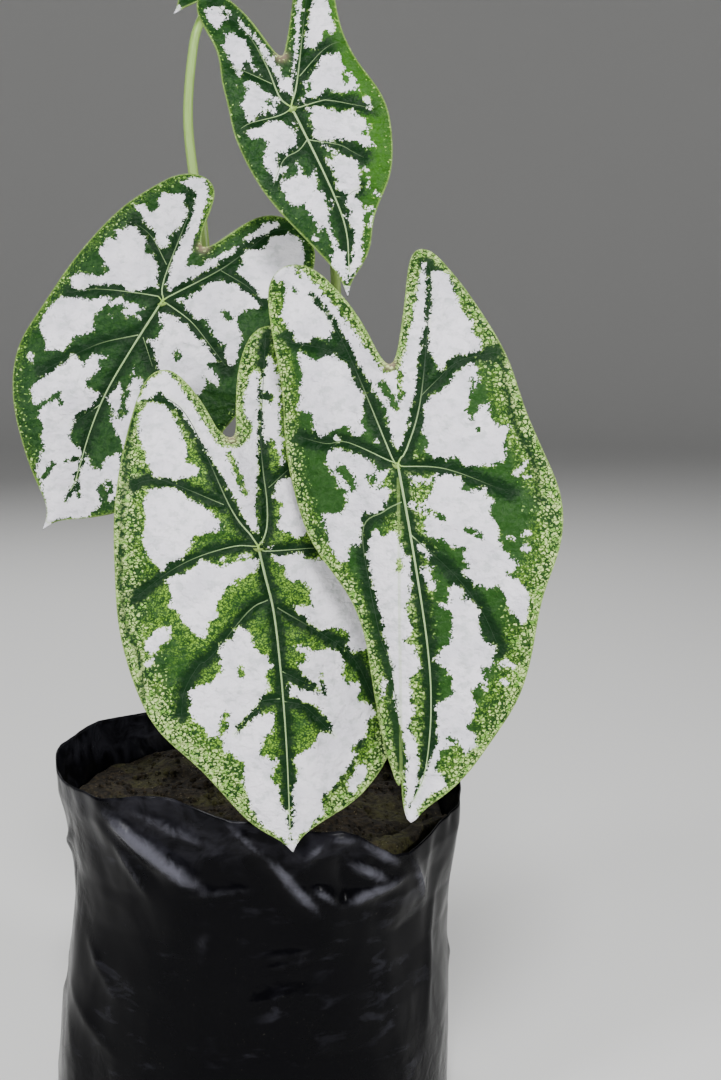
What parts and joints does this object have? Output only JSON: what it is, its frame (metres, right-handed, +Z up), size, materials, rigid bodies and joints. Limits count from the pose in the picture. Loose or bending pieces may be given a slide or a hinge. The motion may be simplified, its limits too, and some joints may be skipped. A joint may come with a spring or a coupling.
{
  "type": "potted white caladium plant",
  "caption": "Aroid house plant with arrow-shaped white and green marbled leaves on arching stalks, growing in a crumpled black nursery bag of soil.",
  "frame": {"origin": "centre of the bag's flat bottom, on the surface it stands on", "axes": "+Z up; the leaves face -Y, towards the picture's camera; +X to the camera's right"},
  "size_m": [0.1957, 0.1808, 0.4938],
  "materials": {
    "bag_film": "crumpled semi-gloss black polyethylene film",
    "soil": "rough crumbly potting soil with moss",
    "tuber_skin": "rough corky brown skin",
    "leaf_blade": "satin leaf, white patches with a green net along the veins",
    "leaf_stalk": "smooth pale yellow-green stalk"
  },
  "bodies": {
    "root": {"nursery_bag": "bag_film", "soil": "soil", "tuber": "tuber_skin", "leaf_1_blade": "leaf_blade", "leaf_2_blade": "leaf_blade", "leaf_3_blade": "leaf_blade", "leaf_4_blade": "leaf_blade", "leaf_5_blade": "leaf_blade", "leaf_1_stalk": "leaf_stalk", "leaf_2_stalk": "leaf_stalk", "leaf_3_stalk": "leaf_stalk", "leaf_4_stalk": "leaf_stalk", "leaf_5_stalk": "leaf_stalk"}
  },
  "joints": []
}
